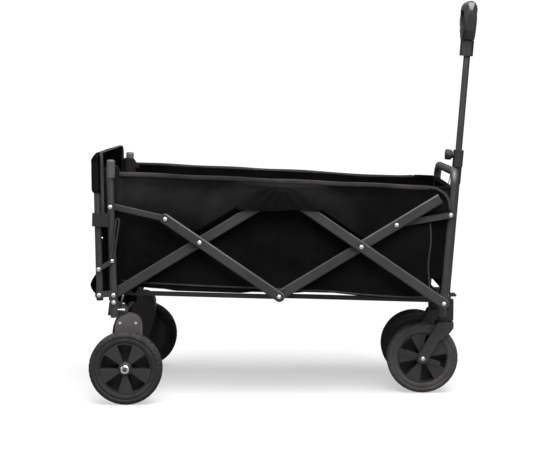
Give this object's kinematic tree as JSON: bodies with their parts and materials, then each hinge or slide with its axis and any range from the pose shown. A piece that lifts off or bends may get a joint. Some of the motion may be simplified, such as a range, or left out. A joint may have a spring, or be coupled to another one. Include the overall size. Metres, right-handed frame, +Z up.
{
  "type": "folding wagon with pull handle",
  "caption": "Folding fabric wagon: scissor side frames, drop-down tailgate, front casters and a telescopic pull handle that tilts forward.",
  "frame": {"origin": "on the floor, below the middle of the overall box", "axes": "+X towards the handle, +Y towards the wagon's left side, +Z up"},
  "size_m": [1.0809, 0.5972, 1.1031],
  "materials": {
    "frame_paint": "satin charcoal powder coat",
    "black_plastic": "matte moulded plastic",
    "hub_plastic": "matte moulded plastic",
    "grip": "glossy black plastic",
    "tyre": "matte foam rubber",
    "fabric": "black woven polyester",
    "binding": "dark grey woven binding tape",
    "mesh": "black open mesh",
    "rivet_steel": "bright zinc",
    "chrome": "bright chrome"
  },
  "bodies": {
    "rear_frame": {"rear_post_left": "frame_paint", "rear_post_right": "frame_paint", "rear_post_caps": "black_plastic", "rear_crossbar": "frame_paint", "rear_wheel_bracket_left": "frame_paint", "rear_wheel_bracket_right": "frame_paint", "rear_axles": "rivet_steel", "rear_axle_nuts": "chrome", "tailgate_hinge_plates": "frame_paint", "rear_rivets": "rivet_steel", "bag_sides": "fabric", "bag_floor": "fabric"},
    "rear_wheel_left": {"rear_tyre_left": "tyre", "rear_hub_left": "hub_plastic"},
    "rear_wheel_right": {"rear_tyre_right": "tyre", "rear_hub_right": "hub_plastic"},
    "front_frame": {"front_u_frame": "frame_paint", "front_crossbar": "frame_paint", "kingpin_housings": "black_plastic", "handle_bracket": "frame_paint", "front_rivets": "rivet_steel", "bag_front_wall": "fabric"},
    "caster_left": {"caster_fork_left": "frame_paint", "caster_axle_left": "rivet_steel"},
    "caster_right": {"caster_fork_right": "frame_paint", "caster_axle_right": "rivet_steel"},
    "front_wheel_left": {"front_tyre_left": "tyre", "front_hub_left": "hub_plastic"},
    "front_wheel_right": {"front_tyre_right": "tyre", "front_hub_right": "hub_plastic"},
    "handle": {"handle_outer_tube": "frame_paint", "clamp_sleeve": "black_plastic"},
    "knob": {"clamp_knob": "black_plastic"},
    "handle_top": {"handle_inner_tube": "frame_paint", "handle_collar": "black_plastic", "handle_grip": "grip"},
    "bar_a": {"bar_a_left": "frame_paint", "bar_a_right": "frame_paint", "bar_a_pins": "rivet_steel"},
    "bar_b": {"bar_b_left": "frame_paint", "bar_b_right": "frame_paint", "bar_b_pins": "rivet_steel"},
    "bar_c": {"bar_c_left": "frame_paint", "bar_c_right": "frame_paint", "bar_c_pins": "rivet_steel"},
    "bar_d": {"bar_d_left": "frame_paint", "bar_d_right": "frame_paint"},
    "links_rear": {"link_rear_left": "frame_paint", "link_rear_right": "frame_paint"},
    "links_front": {"link_front_left": "frame_paint", "link_front_right": "frame_paint"},
    "rail_rear": {"rails_rear": "frame_paint"},
    "rail_front": {"rails_front": "frame_paint"},
    "tailgate": {"tailgate_tube": "frame_paint", "tailgate_clips": "black_plastic", "tailgate_rivets": "rivet_steel", "tailgate_panel": "fabric", "tailgate_cover": "fabric"},
    "stays": {"tailgate_stays": "frame_paint"}
  },
  "joints": [
    {"name": "fold", "type": "hinge", "parent": "rear_frame", "child": "bar_a", "pos_m": [-0.47497, 0, 0.2973], "axis": [0, -1, 0], "range_deg": [0, 49], "deforming": ["bag_sides", "bag_floor", "bag_front_wall"]},
    {"name": "rear_cross", "type": "hinge", "parent": "bar_a", "child": "bar_b", "pos_m": [-0.24095, 0, 0.4399], "axis": [0, -1, 0], "range_deg": [-98, 0]},
    {"name": "bottom_centre", "type": "hinge", "parent": "bar_b", "child": "bar_c", "pos_m": [-0.02496, 0, 0.29137], "axis": [0, -1, 0], "range_deg": [0, 98]},
    {"name": "front_cross", "type": "hinge", "parent": "bar_c", "child": "bar_d", "pos_m": [0.19888, 0, 0.42777], "axis": [0, -1, 0], "range_deg": [-98, 0]},
    {"name": "front_corner", "type": "hinge", "parent": "bar_d", "child": "front_frame", "pos_m": [0.42469, 0, 0.27248], "axis": [0, -1, 0], "range_deg": [0, 49]},
    {"name": "rear_link", "type": "hinge", "parent": "rear_frame", "child": "links_rear", "pos_m": [-0.48135, 0, 0.53757], "axis": [0, -1, 0], "range_deg": [0, 87.71]},
    {"name": "front_link", "type": "hinge", "parent": "front_frame", "child": "links_front", "pos_m": [0.4443, 0, 0.51203], "axis": [0, -1, 0], "range_deg": [-87.71, 0]},
    {"name": "rear_rail", "type": "hinge", "parent": "rear_frame", "child": "rail_rear", "pos_m": [-0.47497, 0, 0.2973], "axis": [0, -1, 0], "range_deg": [0, 80.46]},
    {"name": "front_rail", "type": "hinge", "parent": "front_frame", "child": "rail_front", "pos_m": [0.42469, 0, 0.27248], "axis": [0, -1, 0], "range_deg": [-80.46, 0]},
    {"name": "tailgate_drop", "type": "hinge", "parent": "rear_frame", "child": "tailgate", "pos_m": [-0.51398, 0, 0.29738], "axis": [0, -1, 0], "range_deg": [0, 90]},
    {"name": "stay_swing", "type": "hinge", "parent": "tailgate", "child": "stays", "pos_m": [-0.51474, 0, 0.36777], "axis": [0, -1, 0], "range_deg": [-116.37, 0]},
    {"name": "rear_wheel_left_spin", "type": "hinge", "parent": "rear_frame", "child": "rear_wheel_left", "pos_m": [-0.442, 0.27, 0.1], "axis": [0, 1, 0], "continuous": true},
    {"name": "rear_wheel_right_spin", "type": "hinge", "parent": "rear_frame", "child": "rear_wheel_right", "pos_m": [-0.442, -0.27, 0.1], "axis": [0, 1, 0], "continuous": true},
    {"name": "caster_left_swivel", "type": "hinge", "parent": "front_frame", "child": "caster_left", "pos_m": [0.444, 0.114, 0.203], "axis": [0, 0, 1], "continuous": true},
    {"name": "caster_right_swivel", "type": "hinge", "parent": "front_frame", "child": "caster_right", "pos_m": [0.444, -0.114, 0.203], "axis": [0, 0, 1], "continuous": true},
    {"name": "front_wheel_left_spin", "type": "hinge", "parent": "caster_left", "child": "front_wheel_left", "pos_m": [0.38, 0.114, 0.1], "axis": [0, 1, 0], "continuous": true},
    {"name": "front_wheel_right_spin", "type": "hinge", "parent": "caster_right", "child": "front_wheel_right", "pos_m": [0.38, -0.114, 0.1], "axis": [0, 1, 0], "continuous": true},
    {"name": "handle_tilt", "type": "hinge", "parent": "front_frame", "child": "handle", "pos_m": [0.46, 0, 0.262], "axis": [0, 1, 0], "range_deg": [0, 95]},
    {"name": "handle_extend", "type": "slide", "parent": "handle", "child": "handle_top", "axis": [0.0741, 0, 0.9973], "range_m": [-0.262, 0]},
    {"name": "clamp_turn", "type": "hinge", "parent": "handle", "child": "knob", "pos_m": [0.46209, 0, 0.66796], "axis": [0.9973, 0, -0.0741], "range_deg": [-90, 90]}
  ],
  "couplings": [
    {"joint": "rear_cross", "follows": "fold", "ratio": -2},
    {"joint": "bottom_centre", "follows": "fold", "ratio": 2},
    {"joint": "front_cross", "follows": "fold", "ratio": -2},
    {"joint": "front_corner", "follows": "fold", "ratio": 1},
    {"joint": "rear_link", "follows": "fold", "ratio": 1.79},
    {"joint": "front_link", "follows": "fold", "ratio": -1.79},
    {"joint": "rear_rail", "follows": "fold", "ratio": 1.642},
    {"joint": "front_rail", "follows": "fold", "ratio": -1.642},
    {"joint": "stay_swing", "follows": "tailgate_drop", "ratio": -1.293}
  ]
}
